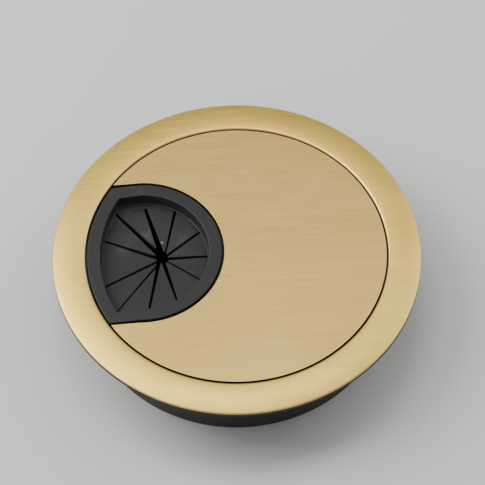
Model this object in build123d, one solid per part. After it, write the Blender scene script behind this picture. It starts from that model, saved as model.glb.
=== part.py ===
from build123d import *
from math import acos, atan2, cos, degrees, radians, sin, sqrt
import os

# Desk grommet for a standard round hole: a metal trim ring on a plastic sleeve, and a
# metal cap with a cable notch that is filled by a rubber seal with eleven fins.
# The Z axis is the hole's axis, Z = 0 is the desk top, and the notch opens towards -X.
# Lengths are in millimetres and angles in degrees.

# ---- Driving dimensions ----------------------------------------------------------

# Sleeve, which lines the hole
HOLE_R = 40.0           # the hole in the desk
SLEEVE_DEPTH = 19.6     # how far the sleeve reaches below the desk top
SLEEVE_WALL = 1.2
SLEEVE_FLANGE_T = 0.8
SLEEVE_CHAMFER = 0.6    # lead-in at the lower end
LEDGE_T = 1.2           # the ledge that carries the turntable
NIB_ANGLES = (45, 135, 225, 315)
NIB_SPAN = 14.0
NIB_REACH = 0.7         # how far each snap nib stands out of the sleeve's bore
NIB_H = 0.6

# Trim ring, which covers the sleeve's flange
FLANGE_W = 7.8          # from the sleeve's outside to the ring's outer edge
RING_EDGE_H = 1.2
RING_RISE = 0.9         # the dome's height above the outer edge
RING_PEAK_IN = 2.0      # from the ring's bore to the dome's highest line
RING_EDGE_ROUND = 0.35
RING_LIP_ROUND = 0.9
RING_RIM_W = 1.6        # the rim outside the sleeve's flange
PEG_COUNT = 6           # pegs that fix the ring to the sleeve's flange
PEG_R = 1.0
PEG_SHORT = 0.1         # how far a peg's end stays above the desk top

# Turntable, which turns in the sleeve and carries the cap
TURNTABLE_H = 6.4
GROOVE_H = 1.2          # the groove that the snap nibs run in
GROOVE_UP = 1.4         # from the turntable's foot to the groove
KEY_ANGLES = (45, 110, -110, -45)
KEY_W = 4.0
KEY_H = 2.4
KEY_IN = 0.8            # how far each key reaches inside the turntable's bore

# Cap plate
CAP_TOP = 1.9           # the cap's face above the desk top
CAP_T = 1.5
CAP_EDGE_ROUND = 0.25
NOTCH_R = 21.45         # the arch, and half the width between its straight sides
NOTCH_REACH = 35.4      # from the cap's edge to the top of the arch
BOSS_R = 1.9            # screw bosses under the cap, around the notch
BOSS_OUT = 2.9          # from the notch's edge to a boss's centre
BOSS_EDGE = 0.6         # least room between a boss and the edge of the clamp
BOSS_COUNT = 5
BOSS_END_ANGLE = 80.0   # the outer bosses, about the arch's centre

# Rubber seal
RIM_W = 3.1             # the flat rim around the recess
RIM_DROP = 0.15         # the rim's face lies this much under the cap's face
SEAL_WALL = 1.4
SEAL_CORNER_R = 0.8
RECESS_DEPTH = 3.6      # from the rim's face down to the fins
LIP_T = 1.2             # the lip that the clamp holds under the cap
FLOOR_UNDER = 0.3       # the seal's wall reaches this much below the fins

# Fins
FIN_T = 1.2
FIN_CENTRE_IN = 19.0    # from the cap's edge to the point where the slits meet
SLIT_ANGLES = (0, 36.5, 74, 103.5, 128, 155, 205, 232, 256.5, 286, 323.5)
SLIT_W = 0.5
CENTRE_HOLE_R = 1.4
ROOT_IN = 1.0           # from the recess's wall to the slits' outer ends
ROOT_SHORT = 0.9        # each fin's round root stops this short of its corners

# Clamp and screws
CLAMP_T = 1.4
CLAMP_END = 1.5         # how far the clamp's ends reach past the arch's centre
SCREW_R = 1.0
SCREW_IN_PLATE = 0.9
HEAD_R = 1.9
HEAD_H = 1.2
SOCKET_R = 0.75
SOCKET_DEPTH = 0.7

# Clearances
HOLE_FIT = 0.3          # sleeve in the desk's hole
CAP_GAP = 0.4           # cap in the trim ring
SEAL_GAP = 0.45         # rubber rim in the cap's notch
SEAL_EDGE_GAP = 0.25    # rubber rim inside the cap's edge circle
TURN_FIT = 0.3          # turntable in the sleeve, and the cap's parts in the turntable
STEP_W = 0.45           # step above the sleeve's bore, under the cap's edge
NEST_FIT = 0.1          # sleeve's flange in the trim ring
PEG_FIT = 0.1
NIB_FIT = 0.2
KEY_FIT = 0.2
BOSS_FIT = 0.2
CLAMP_FIT = 0.2
THREAD_FIT = 0.02
SHANK_FIT = 0.15
HINGE_FIT = 0.2         # fin's round root in its channel, wide enough for a fin bent by 75

# ---- Sizes that follow -----------------------------------------------------------

SLEEVE_R = HOLE_R - HOLE_FIT
SLEEVE_BORE = SLEEVE_R - SLEEVE_WALL
RING_R = SLEEVE_R + FLANGE_W
RING_BORE = SLEEVE_BORE + STEP_W
RING_PEAK_R = RING_BORE + RING_PEAK_IN
SLEEVE_FLANGE_R = RING_R - RING_RIM_W - NEST_FIT
PEG_CIRCLE_R = (SLEEVE_R + SLEEVE_FLANGE_R) / 2

CAP_R = RING_BORE - CAP_GAP
CAP_UNDER = CAP_TOP - CAP_T
ARCH_X = NOTCH_REACH - NOTCH_R - CAP_R
SEAL_EDGE_R = CAP_R - SEAL_EDGE_GAP

TURNTABLE_R = SLEEVE_BORE - TURN_FIT
TURNTABLE_BORE = SEAL_EDGE_R - RIM_W + SEAL_WALL + TURN_FIT
LEDGE_Z = CAP_UNDER - TURNTABLE_H
GROOVE_R = SLEEVE_BORE - NIB_REACH - NIB_FIT
GROOVE_Z = LEDGE_Z + GROOVE_UP

RIM_TOP = CAP_TOP - RIM_DROP
FLOOR_TOP = RIM_TOP - RECESS_DEPTH
FLOOR_BOTTOM = FLOOR_TOP - FIN_T
FIN_Z = FLOOR_TOP - FIN_T / 2
FIN_CENTRE_X = FIN_CENTRE_IN - CAP_R
LIP_BOTTOM = CAP_UNDER - LIP_T
LIP_W = BOSS_OUT + BOSS_R + BOSS_EDGE
CLAMP_BOTTOM = LIP_BOTTOM - CLAMP_T

# A disc larger than the whole part, for cuts that run out past the edge.
BEYOND_R = 2 * RING_R


# ---- Plan outlines ---------------------------------------------------------------

def notch_area(inset, edge_r):
    """The notch's plan drawn in by inset, closed by an arc of edge_r about the Z axis."""
    half_width = NOTCH_R - inset
    arch = Pos(ARCH_X, 0) * Circle(half_width)
    mouth = Pos(ARCH_X - BEYOND_R / 2, 0) * Rectangle(BEYOND_R, 2 * half_width)
    return (arch + mouth) & Circle(edge_r)


def seal_area(inset):
    """The rubber rim's outer plan drawn in by inset, with its two corners rounded."""
    area = notch_area(SEAL_GAP + inset, SEAL_EDGE_R - inset)
    corners = area.vertices().sort_by(Axis.X)[:2]
    return fillet(corners, SEAL_CORNER_R)


def recess_reach(angle):
    """Distance from the fins' centre to a slit's outer end, at this angle."""
    dx, dy = cos(radians(angle)), sin(radians(angle))
    inset = SEAL_GAP + RIM_W + ROOT_IN
    half_width = NOTCH_R - inset

    def to_circle(centre_x, radius):
        offset = FIN_CENTRE_X - centre_x
        along = offset * dx
        return sqrt(along ** 2 - offset ** 2 + radius ** 2) - along

    to_edge = to_circle(0, SEAL_EDGE_R - RIM_W - ROOT_IN)
    to_side = to_circle(ARCH_X, half_width)
    if FIN_CENTRE_X + to_side * dx < ARCH_X:
        to_side = half_width / abs(dy) if dy else to_edge
    return min(to_edge, to_side)


def slit_end(number):
    angle = SLIT_ANGLES[number % len(SLIT_ANGLES)]
    reach = recess_reach(angle)
    return Vector(FIN_CENTRE_X + reach * cos(radians(angle)), reach * sin(radians(angle)))


def boss_places():
    """Boss centres on an arc around the notch, kept inside the turntable's bore."""
    circle_r = NOTCH_R + BOSS_OUT
    limit_r = TURNTABLE_BORE - TURN_FIT - BOSS_R - BOSS_EDGE
    meet_x = (circle_r ** 2 - ARCH_X ** 2 - limit_r ** 2) / (-2 * ARCH_X)
    end = min(BOSS_END_ANGLE, degrees(acos((meet_x - ARCH_X) / circle_r)))
    step = 2 * end / (BOSS_COUNT - 1)
    angles = [radians(-end + step * number) for number in range(BOSS_COUNT)]
    return [(ARCH_X + circle_r * cos(a), circle_r * sin(a)) for a in angles]


# ---- Solids ----------------------------------------------------------------------

def prism(area, bottom, top):
    return extrude(Pos(0, 0, bottom) * area, top - bottom)


def ring(outer_r, inner_r, bottom, top):
    return prism(Circle(outer_r) - Circle(inner_r), bottom, top)


def rod(radius, x, y, bottom, top):
    return prism(Pos(x, y) * Circle(radius), bottom, top)


def root_rod(number, radius, short):
    """A rod along the fin's root line, stopping short of both of the root's ends."""
    start, end = slit_end(number), slit_end(number + 1)
    along = (end - start).normalized()
    start, end = start + along * short, end - along * short
    plane = Plane(origin=(start.X, start.Y, FIN_Z), z_dir=along)
    return extrude(plane * Circle(radius), (end - start).length)


def peg_places():
    step = 360 / PEG_COUNT
    angles = [radians(step * (number + 0.5)) for number in range(PEG_COUNT)]
    return [(PEG_CIRCLE_R * cos(a), PEG_CIRCLE_R * sin(a)) for a in angles]


def make_trim_ring():
    peak_z = RING_EDGE_H + RING_RISE
    run = RING_R - RING_PEAK_R
    dome_r = (run ** 2 + RING_RISE ** 2) / (2 * RING_RISE)
    inner_z = peak_z - dome_r + sqrt(dome_r ** 2 - RING_PEAK_IN ** 2)
    outer_top = (RING_R, RING_EDGE_H)
    inner_top = (RING_BORE, inner_z)
    rim_r = RING_R - RING_RIM_W
    dome = ThreePointArc(outer_top, (RING_PEAK_R, peak_z), inner_top)
    sides = Polyline(
        inner_top,
        (RING_BORE, SLEEVE_FLANGE_T),
        (rim_r, SLEEVE_FLANGE_T),
        (rim_r, 0),
        (RING_R, 0),
        outer_top,
    )
    section = make_face(dome + sides)
    lip = section.vertices().sort_by_distance(inner_top)[0]
    section = fillet(lip, RING_LIP_ROUND)
    edge = section.vertices().sort_by_distance(outer_top)[0]
    section = fillet(edge, RING_EDGE_ROUND)
    body = revolve(Plane.XZ * section, Axis.Z)
    for x, y in peg_places():
        body += rod(PEG_R, x, y, PEG_SHORT, RING_EDGE_H)
    return body


def make_sleeve():
    body = ring(SLEEVE_R, SLEEVE_BORE, -SLEEVE_DEPTH, 0)
    lower_edge = body.edges().filter_by(GeomType.CIRCLE).group_by(Axis.Z)[0].sort_by(SortBy.RADIUS)[-1]
    body = chamfer(lower_edge, SLEEVE_CHAMFER)
    body += ring(SLEEVE_FLANGE_R, RING_BORE, 0, SLEEVE_FLANGE_T)
    inside_wall = SLEEVE_BORE + SLEEVE_WALL / 2
    body += ring(inside_wall, TURNTABLE_BORE, LEDGE_Z - LEDGE_T, LEDGE_Z)
    nib_z = GROOVE_Z + (GROOVE_H - NIB_H) / 2
    nibs = ring(inside_wall, SLEEVE_BORE - NIB_REACH, nib_z, nib_z + NIB_H)
    chord = 2 * SLEEVE_R * sin(radians(NIB_SPAN / 2))
    for angle in NIB_ANGLES:
        window = Rot(0, 0, angle) * Pos(SLEEVE_BORE, 0, nib_z) * Box(2 * SLEEVE_WALL + 2, chord, 2 * NIB_H)
        body += nibs & window
    for x, y in peg_places():
        body -= rod(PEG_R + PEG_FIT, x, y, -SLEEVE_FLANGE_T, 2 * SLEEVE_FLANGE_T)
    return body


def key_block(inner_r, outer_r, width, bottom, top, angle):
    plan = Pos((inner_r + outer_r) / 2, 0) * Rectangle(outer_r - inner_r, width)
    return Rot(0, 0, angle) * prism(plan, bottom, top)


def make_turntable():
    body = ring(TURNTABLE_R, TURNTABLE_BORE, LEDGE_Z, CAP_UNDER)
    body -= ring(BEYOND_R, GROOVE_R, GROOVE_Z, GROOVE_Z + GROOVE_H)
    slot_bottom = CAP_UNDER - KEY_H - KEY_FIT
    for angle in KEY_ANGLES:
        slot = (TURNTABLE_BORE - KEY_IN, RING_R, KEY_W + 2 * KEY_FIT, slot_bottom, CAP_TOP)
        body -= key_block(*slot, angle)
    return body


def make_cap_plate():
    plate = prism(Circle(CAP_R) - notch_area(0, BEYOND_R), CAP_UNDER, CAP_TOP)
    face_edges = plate.faces().sort_by(Axis.Z)[-1].edges()
    plate = fillet(face_edges, CAP_EDGE_ROUND)
    for angle in KEY_ANGLES:
        key = (TURNTABLE_BORE - KEY_IN, TURNTABLE_R - TURN_FIT, KEY_W, CAP_UNDER - KEY_H, CAP_UNDER)
        plate += key_block(*key, angle)
    for x, y in boss_places():
        plate += rod(BOSS_R, x, y, LIP_BOTTOM, CAP_UNDER)
        plate -= rod(SCREW_R + THREAD_FIT, x, y, LIP_BOTTOM, CAP_UNDER + SCREW_IN_PLATE)
    return plate


def lip_area():
    return notch_area(-LIP_W, TURNTABLE_BORE - TURN_FIT)


def make_cable_seal():
    recess = seal_area(RIM_W)
    body = prism(seal_area(0) - recess, CAP_UNDER, RIM_TOP)
    wall_bottom = FLOOR_BOTTOM - FLOOR_UNDER
    body += prism(seal_area(RIM_W - SEAL_WALL) - recess, wall_bottom, CAP_UNDER)
    lip = prism(lip_area() - recess, LIP_BOTTOM, CAP_UNDER)
    for x, y in boss_places():
        lip -= rod(BOSS_R + BOSS_FIT, x, y, LIP_BOTTOM, CAP_UNDER)
    body += lip
    roots = Polygon(*[slit_end(n) for n in range(len(SLIT_ANGLES))], align=None)
    web = prism(seal_area(RIM_W - SEAL_WALL / 2) - roots, FLOOR_BOTTOM, FLOOR_TOP)
    for number in range(len(SLIT_ANGLES)):
        web -= root_rod(number, FIN_T / 2 + HINGE_FIT, 0)
    return body + web


def make_fin(number):
    centre = Vector(FIN_CENTRE_X, 0)
    start, end = slit_end(number), slit_end(number + 1)
    plan = make_face(Polyline(centre, start, end, close=True))
    for tip in (start, end):
        slit = tip - centre
        angle = degrees(atan2(slit.Y, slit.X))
        plan -= Pos(centre.X, 0) * Rot(0, 0, angle) * Rectangle(2 * BEYOND_R, SLIT_W)
    plan -= Pos(centre.X, 0) * Circle(CENTRE_HOLE_R)
    return prism(plan, FLOOR_BOTTOM, FLOOR_TOP) + root_rod(number, FIN_T / 2, ROOT_SHORT)


def make_seal_clamp():
    area = lip_area() - seal_area(RIM_W - SEAL_WALL - CLAMP_FIT)
    mouth_x = ARCH_X - CLAMP_END - BEYOND_R / 2
    area -= Pos(mouth_x, 0) * Rectangle(BEYOND_R, BEYOND_R)
    body = prism(area, CLAMP_BOTTOM, LIP_BOTTOM)
    for x, y in boss_places():
        body -= rod(SCREW_R + SHANK_FIT, x, y, CLAMP_BOTTOM, LIP_BOTTOM)
    return body


def make_clamp_screws():
    screws = []
    for x, y in boss_places():
        head_bottom = CLAMP_BOTTOM - HEAD_H
        screw = rod(HEAD_R, x, y, head_bottom, CLAMP_BOTTOM)
        screw += rod(SCREW_R, x, y, CLAMP_BOTTOM, CAP_UNDER + SCREW_IN_PLATE - THREAD_FIT)
        socket = Pos(x, y) * RegularPolygon(SOCKET_R, 6)
        screw -= prism(socket, head_bottom, head_bottom + SOCKET_DEPTH)
        screws.append(screw)
    return Compound(screws)


pieces = {
    "trim_ring": make_trim_ring(),
    "sleeve": make_sleeve(),
    "turntable": make_turntable(),
    "cap_plate": make_cap_plate(),
    "cable_seal": make_cable_seal(),
    "seal_clamp": make_seal_clamp(),
    "clamp_screws": make_clamp_screws(),
}
for number in range(len(SLIT_ANGLES)):
    pieces[f"fin_{number + 1:02d}"] = make_fin(number)

os.makedirs("parts", exist_ok=True)
for name, shape in pieces.items():
    export_step(shape, f"parts/{name}.step")
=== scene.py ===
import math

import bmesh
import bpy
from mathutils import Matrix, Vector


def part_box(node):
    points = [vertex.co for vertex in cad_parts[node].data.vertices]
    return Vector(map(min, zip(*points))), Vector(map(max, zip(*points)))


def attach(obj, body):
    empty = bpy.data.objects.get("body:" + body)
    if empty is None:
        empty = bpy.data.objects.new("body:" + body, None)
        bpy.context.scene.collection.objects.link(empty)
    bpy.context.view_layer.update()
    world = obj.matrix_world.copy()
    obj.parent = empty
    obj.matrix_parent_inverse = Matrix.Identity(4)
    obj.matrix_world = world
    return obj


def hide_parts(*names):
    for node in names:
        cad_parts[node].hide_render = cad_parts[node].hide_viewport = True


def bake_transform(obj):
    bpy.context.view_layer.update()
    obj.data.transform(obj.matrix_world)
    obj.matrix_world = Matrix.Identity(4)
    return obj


bl_info = {
    "name": "Desk Cable Grommet",
    "version": (1, 0, 0),
    "blender": (4, 5, 0),
    "location": "3D View > Sidebar > Grommet",
    "description": "Models a brushed brass desk grommet with a rubber cable seal around its CAD frame",
    "category": "Mesh",
}

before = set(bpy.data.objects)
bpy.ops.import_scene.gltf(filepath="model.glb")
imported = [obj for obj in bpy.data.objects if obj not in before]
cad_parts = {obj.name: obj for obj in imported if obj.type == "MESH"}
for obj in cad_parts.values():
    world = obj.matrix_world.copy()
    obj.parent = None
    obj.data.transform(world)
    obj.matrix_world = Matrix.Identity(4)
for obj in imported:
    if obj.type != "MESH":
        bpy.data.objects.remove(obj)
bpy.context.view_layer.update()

MM = 0.001
UP = Vector((0, 0, 1))

# ---- Places and sizes that the frame gives ---------------------------------------

RING_LOW, RING_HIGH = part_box("trim_ring")
SLEEVE_LOW, SLEEVE_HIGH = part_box("sleeve")
TURNTABLE_LOW, TURNTABLE_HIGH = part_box("turntable")
CAP_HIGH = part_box("cap_plate")[1]
SEAL_LOW, SEAL_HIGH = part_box("cable_seal")
CLAMP_LOW, CLAMP_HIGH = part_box("seal_clamp")
SCREW_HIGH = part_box("clamp_screws")[1]
FIN_LOW, FIN_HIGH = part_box("fin_01")

RING_R = RING_HIGH.x
CAP_R = CAP_HIGH.x
CAP_TOP = CAP_HIGH.z
CAP_UNDER = TURNTABLE_HIGH.z
TURNTABLE_R = TURNTABLE_HIGH.x
FLANGE_R = SLEEVE_HIGH.x
FLANGE_TOP = SLEEVE_HIGH.z
SLEEVE_FOOT = SLEEVE_LOW.z
RIM_TOP = SEAL_HIGH.z
SEAL_FOOT = SEAL_LOW.z
FLOOR_TOP = FIN_HIGH.z
FLOOR_UNDER = FIN_LOW.z
LIP_UNDER = CLAMP_HIGH.z
LIP_HALF = SEAL_HIGH.y

FINS = sorted(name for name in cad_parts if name.startswith("fin_"))


def lines_meet(place, along, other_place, other_along):
    """Where two level lines cross."""
    across = Vector((-other_along.y, other_along.x, 0))
    reach = (other_place - place).dot(across) / along.dot(across)
    return place + along * reach


# ---- Settings that a user would change -------------------------------------------

def length(name, description, default_mm):
    """A length property, given in millimetres and kept in metres."""
    return bpy.props.FloatProperty(
        name=name, description=description, default=default_mm * MM, unit="LENGTH", subtype="DISTANCE"
    )


def colour(name, description, default):
    return bpy.props.FloatVectorProperty(
        name=name, description=description, default=default, size=3, min=0.0, max=1.0, subtype="COLOR"
    )


def angle(name, description, default_degrees):
    return bpy.props.FloatProperty(
        name=name, description=description, default=math.radians(default_degrees), subtype="ANGLE"
    )


class RingSizes(bpy.types.PropertyGroup):
    """Sizes of the trim ring."""

    gap: length("Gap", "Clearance between the cap and the ring's bore", 0.4)
    edge_height: length("Edge height", "Height of the ring's outer edge above the desk", 1.2)
    peak_in: length("Peak in", "From the bore to the highest line of the dome", 2.0)
    rim_width: length("Rim width", "Width of the rim outside the sleeve's flange", 1.6)
    edge_round: length("Edge rounding", "Rounding of the outer edge", 0.35)
    lip_round: length("Lip rounding", "Rounding of the lip around the cap", 0.6)
    foot_round: length("Foot rounding", "Rounding of the edges against the desk", 0.1)
    peg_radius: length("Peg radius", "Radius of the pegs that hold the ring", 1.0)
    peg_circle: length("Peg circle", "Radius of the circle that the pegs stand on", 42.75)
    peg_up: length("Peg foot", "Height of the pegs' feet above the desk", 0.1)
    peg_count: bpy.props.IntProperty(name="Pegs", description="Pegs under the ring", default=6, min=3)


class SleeveSizes(bpy.types.PropertyGroup):
    """Sizes of the sleeve and of the turntable in it."""

    radius: length("Radius", "Radius of the sleeve in the desk's hole", 39.7)
    wall: length("Wall", "Thickness of the sleeve's wall", 1.2)
    foot_round: length("Foot rounding", "Rounding of the sleeve's foot", 0.6)
    ledge: length("Ledge", "Thickness of the ledge under the turntable", 1.2)
    turntable_wall: length("Turntable wall", "Thickness of the turntable's wall", 1.3)
    seat_gap: length("Seat gap", "Hair's gap under the turntable so that it turns freely", 0.02)
    groove_up: length("Groove height", "From the turntable's foot to its groove", 1.4)
    groove_width: length("Groove width", "Width of the groove that the snap nibs run in", 1.2)
    groove_depth: length("Groove depth", "Depth of that groove", 0.6)
    nib_reach: length("Nib reach", "How far the snap nibs stand into the bore", 0.7)
    nib_height: length("Nib height", "Height of the snap nibs", 0.6)
    nib_span: angle("Nib span", "Arc of each snap nib", 14)
    soften: length("Softened edges", "Rounding of the moulded edges", 0.12)


class CapSizes(bpy.types.PropertyGroup):
    """Sizes of the cap, its notch and what holds the seal under it."""

    notch_radius: length("Notch radius", "Radius of the arch of the cable notch", 21.45)
    notch_reach: length("Notch reach", "From the cap's edge to the top of the arch", 35.4)
    notch_shift: length("Notch shift", "How far the cut arch lies off the cap's middle line", 0.6)
    edge_round: length("Edge rounding", "Rounding of the edges of the cap's face", 0.28)
    key_width: length("Key width", "Width of the keys that turn the turntable", 4.0)
    key_height: length("Key height", "Height of those keys", 2.4)
    key_in: length("Key depth", "How far the keys reach inside the turntable", 0.8)
    key_gap: length("Key gap", "Clearance between a key and its slot", 0.2)
    boss_radius: length("Boss radius", "Radius of the screw bosses", 1.9)
    boss_out: length("Boss place", "From the notch's edge to the bosses", 2.9)
    boss_span: angle("Boss span", "Angle between the outer bosses, about the arch's centre", 160)
    boss_gap: length("Boss gap", "Clearance around a boss in the seal's lip", 0.2)
    clamp_end: length("Clamp ends", "How far the clamp's ends pass the arch's centre", 1.5)
    clamp_gap: length("Clamp gap", "Clearance between the clamp and the recess's wall", 0.2)
    screw_radius: length("Screw radius", "Radius of the screws' shanks", 1.0)
    head_radius: length("Head radius", "Radius of the screws' heads", 1.9)
    head_height: length("Head height", "Height of the screws' heads", 1.2)
    socket_radius: length("Socket", "Radius of the hex socket in a screw's head", 0.75)
    socket_depth: length("Socket depth", "Depth of that socket", 0.7)


class SealSizes(bpy.types.PropertyGroup):
    """Sizes of the rubber seal and its fins."""

    gap: length("Gap", "Gap between the rubber rim and the notch", 0.65)
    shift: length("Shift", "How far the fitted seal lies off the cap's middle line", 0.85)
    edge_gap: length("Edge gap", "How far the rim stays inside the cap's edge", 0.05)
    rim_width: length("Rim width", "Width of the flat rim", 3.35)
    wall: length("Wall", "Thickness of the recess's wall", 1.4)
    rim_round: length("Rim rounding", "Rounding of the rim's edges", 0.3)
    corner_round: length("Corner rounding", "Rounding of the rim's two corners", 0.5)
    floor_fillet: length("Floor fillet", "Fillet between the recess's wall and floor", 0.5)
    lip_edge: length("Lip edge", "Radius that the lip under the cap reaches", 36.6)
    slit_width: length("Slit width", "Width of a slit whose width factor is 1", 1.3)
    slit_web: length("Slit end", "Least web between a slit's end and the recess's wall", 0.3)
    tip: length("Tip", "Width of a fin's tip", 0.25)
    droop: length("Droop", "How far the fins' tips hang below the floor", 0.3)
    bend_length: length("Bend length", "Length of fin over which it bends at its root", 3.0)


class Finishes(bpy.types.PropertyGroup):
    """Colours of the finishes, and the stage's floor and light."""

    brass_light: colour("Brass, light", "Brushed brass where the brush has bared it", (0.94, 0.67, 0.165))
    brass_dark: colour("Brass, dark", "Brushed brass between the lines", (0.75, 0.51, 0.115))
    # Partly real wear, partly a painted highlight along the brass's rounded edges.
    polish_and_highlight: colour("Polished edge and highlight", "Brass rubbed bare along its edges, with painted highlights", (0.94, 0.71, 0.30))
    patina: colour("Patina", "Dark antique finish that stays in the gaps", (0.05, 0.03, 0.012))
    rubber: colour("Rubber", "Moulded rubber", (0.019, 0.019, 0.019))
    plastic: colour("Plastic", "Moulded plastic", (0.012, 0.012, 0.013))
    zinc: colour("Zinc", "Plated screws", (0.62, 0.63, 0.65))
    dust: colour("Dust", "Dust and chalky marks", (0.42, 0.41, 0.39))
    floor: colour("Floor", "Plain pale floor", (0.72, 0.72, 0.71))
    light: bpy.props.FloatProperty(
        name="Light", description="Power that each soft light has a share of", default=5.0, unit="POWER"
    )


SETTINGS = {
    "grommet_ring": RingSizes,
    "grommet_sleeve": SleeveSizes,
    "grommet_cap": CapSizes,
    "grommet_seal": SealSizes,
    "grommet_finish": Finishes,
}


def sizes(part):
    return getattr(bpy.context.scene, "grommet_" + part)


def arch_x():
    """Where the notch's arch has its centre, on the X axis."""
    cap = sizes("cap")
    return cap.notch_reach - cap.notch_radius - CAP_R


# ---- Modelling moves -------------------------------------------------------------

TURN_STEPS = 288
ARC_STEPS = 48
ARCH_STEPS = 96
ROD_SIDES = 48
ROUND_STEPS = 5
DOME_STEPS = 24
NIB_STEPS = 24
FIN_CUTS = 15
CLOSE = 1e-6
NEAR = 0.02 * MM
SMOOTH_ANGLE = math.radians(32)
SHARP_ANGLE = math.radians(50)

# ---- Small fits and roundings ----------------------------------------------------

PAST = MM                   # how far a cutter runs past what it cuts
INTO = 0.2 * MM             # how far a boss or key runs into the cap it grows from
DRILL_FIT = 0.1 * MM        # clearance of a hole around its peg or screw
NOTCH_CORNER = 0.2 * MM     # rounding of the notch's two corners
MOULD_ROUND = 0.15 * MM     # rounding of the bosses and keys
LIP_ROUND = 0.12 * MM       # rounding of the seal's lip
CLAMP_ROUND = 0.2 * MM      # rounding of the clamp
HEAD_ROUND = 0.35 * MM      # rounding of the screws' heads
FIN_ROUND = 0.10 * MM       # rounding of the fins' edges
KEY_BACK = 0.3 * MM         # how far the keys stay inside the turntable's outside
ROOT_KEEP = 0.1 * MM        # the stretch at a fin's root whose edges stay sharp


def clear_selection():
    active = bpy.context.view_layer.objects.active
    if active and active.mode != "OBJECT":
        bpy.ops.object.mode_set(mode="OBJECT")
    bpy.ops.object.select_all(action="DESELECT")


def take(piece):
    """Selects just this piece."""
    clear_selection()
    piece.select_set(True)
    bpy.context.view_layer.objects.active = piece


def edit(piece):
    take(piece)
    bpy.ops.object.mode_set(mode="EDIT")


def remove(piece):
    take(piece)
    bpy.ops.object.delete()


def apply_modifier(piece, modifier):
    take(piece)
    bpy.ops.object.modifier_apply(modifier=modifier.name)


def leave():
    bpy.ops.object.mode_set(mode="OBJECT")


def pick(kind, test):
    """In edit mode, selects just the vertices, edges or faces that pass the test."""
    bpy.ops.mesh.select_mode(type=kind)
    bpy.ops.mesh.select_all(action="DESELECT")
    mesh = bpy.context.object.data
    shape = bmesh.from_edit_mesh(mesh)
    members = {"VERT": shape.verts, "EDGE": shape.edges, "FACE": shape.faces}[kind]
    for member in members:
        if test(member):
            member.select_set(True)
    bmesh.update_edit_mesh(mesh)


def pick_at(*places):
    pick("VERT", lambda vertex: any((vertex.co - Vector(place)).length < NEAR for place in places))


def level_with(part, height):
    return all(abs(vertex.co.z - height) < CLOSE for vertex in part.verts)


def flat_edge(edge, height):
    """Whether a level edge at this height divides a level face from another one."""
    level_faces = [face for face in edge.link_faces if abs(face.normal.z) > 0.99]
    return level_with(edge, height) and len(level_faces) < len(edge.link_faces)


def push(step):
    """Extrudes what is selected and moves it by step."""
    move = {"value": tuple(step), "use_proportional_edit": False}
    bpy.ops.mesh.extrude_region_move(TRANSFORM_OT_translate=move)


def sweep(turn, steps, centre=(0, 0, 0), axis=(0, 0, 1)):
    """Spins what is selected anticlockwise about the axis."""
    bpy.ops.mesh.spin(steps=steps, angle=-turn, center=tuple(centre), axis=tuple(axis), use_auto_merge=False)


def soften(amount, steps=3):
    """Rounds the selected edges."""
    bpy.ops.mesh.bevel(offset=amount, segments=steps, affect="EDGES", clamp_overlap=True)


def soften_level(height, amount, steps=3):
    """Rounds the edges of the level faces at this height."""
    pick("EDGE", lambda edge: flat_edge(edge, height))
    soften(amount, steps)


def tidy_shell():
    """Merges doubles and turns every face outwards."""
    bpy.ops.mesh.select_mode(type="VERT")
    bpy.ops.mesh.select_all(action="SELECT")
    bpy.ops.mesh.remove_doubles(threshold=CLOSE)
    bpy.ops.mesh.normals_make_consistent(inside=False)


def settle():
    """Puts the piece's place, turn and scale into its mesh."""
    bpy.ops.object.transform_apply(location=True, rotation=True, scale=True)


def take_new(name):
    """Names the primitive just added and puts its place into its mesh."""
    piece = bpy.context.object
    piece.name = name
    piece.data.name = name
    settle()
    return piece


def first_point(name, place):
    """A new piece that is one vertex, left in edit mode with the vertex selected."""
    clear_selection()
    bpy.ops.mesh.primitive_plane_add(size=MM, location=place)
    piece = take_new(name)
    bpy.ops.object.mode_set(mode="EDIT")
    bpy.ops.mesh.select_mode(type="VERT")
    bpy.ops.mesh.select_all(action="SELECT")
    bpy.ops.mesh.merge(type="CENTER")
    return piece


def draw_line(name, places):
    """A closed wire drawn by extruding one vertex from place to place."""
    piece = first_point(name, places[0])
    for here, after in zip(places, places[1:]):
        push(Vector(after) - Vector(here))
    pick_at(places[0], places[-1])
    bpy.ops.mesh.edge_face_add()
    return piece


def draw_section(name, points):
    """A closed wire in the XZ plane. Each point is a radius, a height and a rounding."""
    piece = draw_line(name, [(radius, 0, height) for radius, height, rounding in points])
    for radius, height, rounding in points:
        if rounding:
            pick_at((radius, 0, height))
            bpy.ops.mesh.bevel(offset=rounding, segments=ROUND_STEPS, affect="VERTICES", clamp_overlap=False)
    bpy.ops.mesh.select_all(action="SELECT")
    return piece


def turned(name, points):
    """A closed ring turned about the Z axis from its section."""
    piece = draw_section(name, points)
    sweep(math.tau, TURN_STEPS)
    tidy_shell()
    leave()
    return piece


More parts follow.
